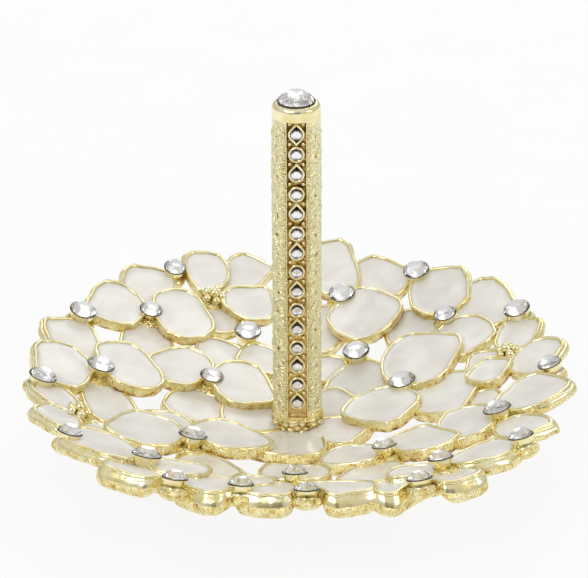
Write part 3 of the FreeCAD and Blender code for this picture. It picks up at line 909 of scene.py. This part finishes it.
edging = bmesh.new()
bead_pitch = 0.55 * mm
bead_radius = 0.22 * mm
bead_sink = 0.02 * mm
bead_turn = channel_turn + (border_width + bead_radius) / post_radius
for number in range(int((channel_high - flange_high) / bead_pitch)):
    for side in (-1, 1):
        spot = Vector((side * math.sin(bead_turn), -math.cos(bead_turn), 0)) * (post_radius - bead_sink)
        spot.z = flange_high + number * bead_pitch
        add_bead(edging, bead_radius, Matrix.Translation(spot))
piece("beaded_edging", edging, ("polished_gold",))

collar_low, collar_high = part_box("post_collar")
collar_radius = (collar_high.x - collar_low.x) / 2
collar_top = notch_low + 0.3 * mm
collar_rows = 22
collar_sides = 150
collar_waist_share = 0.90
collar_bore_share = 0.8
collar_foot_share = 0.7
nugget_size = 1.8 * mm
nugget_height = 0.7 * mm
nugget_spread = 1.9
nugget_level = 0.45
nugget_grain_size = 0.6 * mm
nugget_grain_height = 0.22 * mm
# Painted shading of the nuggets: painted highlight on their tops, painted shade between them, and the most
# highlight allowed
nugget_shine = 2.2
between_nuggets_painted_shade = 0.6
least_nugget_painted_shading = -0.4
rows = [(collar_radius * collar_foot_share, collar_low.z, 1)]
for step in range(collar_rows + 1):
    belly = (1 - collar_waist_share) * math.sin(math.pi * step / collar_rows)
    rows.append((collar_radius * (collar_waist_share + belly),
                 collar_low.z + (collar_top - collar_low.z) * step / collar_rows, 1))
rows.append((collar_radius * collar_bore_share, collar_top, 1))
ring = shell(rows, count=collar_sides)
painted_shading = ring.verts.layers.float["painted_shading"]
for vert in ring.verts:
    near = noise.voronoi(vert.co / nugget_size)[0]
    nugget = min(1, (near[1] - near[0]) * nugget_spread)
    out = math.hypot(vert.co.x, vert.co.y)
    if out > collar_radius * collar_bore_share:
        lump = (nugget - nugget_level) * nugget_height
        lump += noise.noise(vert.co / nugget_grain_size) * nugget_grain_height
        # Painted shade between the nuggets and painted highlight on their tops.
        vert[painted_shading] = max(least_nugget_painted_shading, between_nuggets_painted_shade - nugget * nugget_shine)
        vert.co.x *= 1 + lump / out
        vert.co.y *= 1 + lump / out
piece("nugget_collar", ring, ("polished_gold", "grained_gold"), ("post_collar",))


# Strip in the channel

def bezel_edge(tips):
    """Outline of a small bezel, round or drawn to a point above, or above and below."""
    point_turn = math.acos(collet_radius / (collet_radius + collet_point_length))

    def outline(turn, row):
        radius = row[0]
        for tip in tips:
            off = abs((turn - tip + math.pi) % (2 * math.pi) - math.pi)
            if off < point_turn:
                radius = row[0] / math.cos(point_turn - off)
        return radius * math.cos(turn), radius * math.sin(turn), row[1], row[2]
    return outline


# Rows of a bezel: share of its radius, height above the strip in millimetres and finish
bezel_profile = ((0.98, -0.1, 0), (1, 0.42, 0), (0.97, 0.62, 0), (0.88, 0.74, 0), (0.77, 0.74, 0),
                 (0.70, 0.64, 0), (0.68, 0.10, 1))
bezel_sides = 48
strip_bead_radius = 0.42 * mm
strip_bead_offset = 1.3 * mm
strip_bead_lift = 0.2 * mm
strip_bead_rings = 7

facing = Matrix.Rotation(math.pi / 2, 4, "X")
first_height = channel_low + strip_end_gap
strip_run = channel_high - strip_end_gap / 2 - first_height
bezel_count = 1 + int(strip_run / strip_stone_pitch)
bezels = bmesh.new()
for number in range(bezel_count):
    height = first_height + number * strip_stone_pitch
    seat = Matrix.Translation((0, -strip_front, height)) @ facing
    tips = () if number % 2 else (math.pi / 2,)
    if number == bezel_count - 1:
        tips = (math.pi / 2, -math.pi / 2)
    rows = [(collet_radius * share, rise * mm, band) for share, rise, band in bezel_profile]
    place_part(bezels, shell(rows, bezel_edge(tips), bezel_sides), seat)
    stone_seat = seat @ Matrix.Translation((0, 0, collet_seat))
    set_stone("strip", strip_stone_radius, strip_crown_height, strip_facets, stone_seat)
    between = height + strip_stone_pitch / 2
    for side in (-1, 1):
        spot = Matrix.Translation((side * strip_bead_offset, -strip_front - strip_bead_lift, between))
        add_bead(bezels, strip_bead_radius, spot, strip_bead_rings)
piece("strip_bezels", bezels, ("polished_gold", "dark_gold"), ("strip_collets",))

crown_seat = Matrix.Translation((0, 0, post_top + crown_lift))
set_stone("crown", crown_stone_radius, crown_stone_height, stone_facets, crown_seat)
for group, node in (("large", "large_stones"), ("small", "small_stones"), ("strip", "strip_stones"),
                    ("crown", "crown_stone")):
    piece(group + "_crystals", gems[group], ("cut_crystal",), (node,))
piece("crystal_foils", foils, ("mirror_foil",))

carried = {"gallery_strip": "dark_gold", "post_screw": "zinc_steel", "feet": "polished_gold"}
for node, finish_name in carried.items():
    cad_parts[node].data.materials.clear()
    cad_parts[node].data.materials.append(finishes[finish_name])


# Studio

def pale_board(tree, where):
    """Pale studio board, lit from below so that shadows on it stay faint."""
    fleck = add(tree, "TexNoise", {"Scale": repeats(25 * mm)}, {"Vector": (where, "Object")})
    tone = add(tree, "ValToRGB", links={0: (fleck, 0)}, stops=((0.3, "#484848"), (0.7, "#4C4C4C")))
    return add(tree, "BsdfPrincipled", {"Roughness": 0.9, "Emission Color": "#FFFFFF",
                                        "Emission Strength": 0.89}, {"Base Color": (tone, 0)})


board_reach = 3
board = bmesh.new()
bmesh.ops.create_grid(board, x_segments=1, y_segments=1, size=board_reach)
board_mesh = bpy.data.meshes.new("studio_board")
board.to_mesh(board_mesh)
board.free()
board_mesh.materials.append(finish("pale_board", pale_board))
floor = bpy.data.objects.new("studio_board", board_mesh)
bpy.context.scene.collection.objects.link(floor)

# A pale room, brightest overhead, with a darker patch round the photographer
world = bpy.data.worlds.new("studio")
bpy.context.scene.world = world
world.use_nodes = True
sky = world.node_tree
sky.nodes.clear()
direction = add(sky, "TexCoord")
upward = add(sky, "SeparateXYZ", links={0: (direction, "Generated")})
glow = add(sky, "ValToRGB", links={0: (upward, "Z")},
           stops=((0.0, "#E4E4E4"), (0.25, "#DADADA"), (0.5, "#F0F0F0"), (1.0, "#FCFCFC")))
toward_photographer = add(sky, "VectorMath", {1: (0, -0.906, 0.423)}, {0: (direction, "Generated")},
                          operation="DOT_PRODUCT")
dark_room = add(sky, "ValToRGB", links={0: (toward_photographer, "Value")},
                stops=((0.90, "#FFFFFF"), (0.97, "#A8A8A8")))
shaded = add(sky, "Mix", {"Factor": 1.0}, {6: (glow, 0), 7: (dark_room, 0)},
             data_type="RGBA", blend_type="MULTIPLY")
light_source = add(sky, "Background", {"Strength": 0.78}, {0: (shaded, 2)})
add(sky, "OutputWorld", links={"Surface": (light_source, 0)})

# Lamps: name, place and size in metres, and power in watts
lamps = (("key", (-0.45, -0.55, 0.75), 0.35, 1.9), ("fill", (0.7, -0.25, 0.5), 0.3, 0.8),
         ("back", (0.1, 0.7, 0.6), 0.5, 0.8))
lamp_aim = Vector((0, 0, 30 * mm))
for name, place, size, power in lamps:
    lamp = bpy.data.lights.new(name, "AREA")
    lamp.size = size
    lamp.energy = power
    stand = bpy.data.objects.new(name, lamp)
    bpy.context.scene.collection.objects.link(stand)
    stand.location = place
    stand.rotation_euler = (lamp_aim - Vector(place)).to_track_quat("-Z", "Y").to_euler()

# The photograph's viewpoint: 25 degrees above the dish, 450 mm from the middle of the post. The
# photograph is 588 pixels wide, and its focal length and shift are in its pixels.
photo_width = 588
focal_pixels = 2337
shift_pixels = -3
sensor_width = 36
camera_distance = 450 * mm
camera_aim = Vector((0, 0, 33.6 * mm))
elevation = math.radians(25.1)
away = Vector((0, -math.cos(elevation), math.sin(elevation)))
lens = bpy.data.cameras.new("photo_camera")
lens.sensor_width = sensor_width
lens.lens = sensor_width * focal_pixels / photo_width
lens.shift_x = shift_pixels / photo_width
lens.clip_start = 10 * mm
camera = bpy.data.objects.new("photo_camera", lens)
bpy.context.scene.collection.objects.link(camera)
camera.location = camera_aim + away * camera_distance
roll = Matrix.Rotation(math.radians(-0.25), 3, "Z")
camera.rotation_euler = ((-away).to_track_quat("-Z", "Y").to_matrix() @ roll).to_euler()
bpy.context.scene.camera = camera
bpy.context.scene.view_settings.view_transform = "Standard"
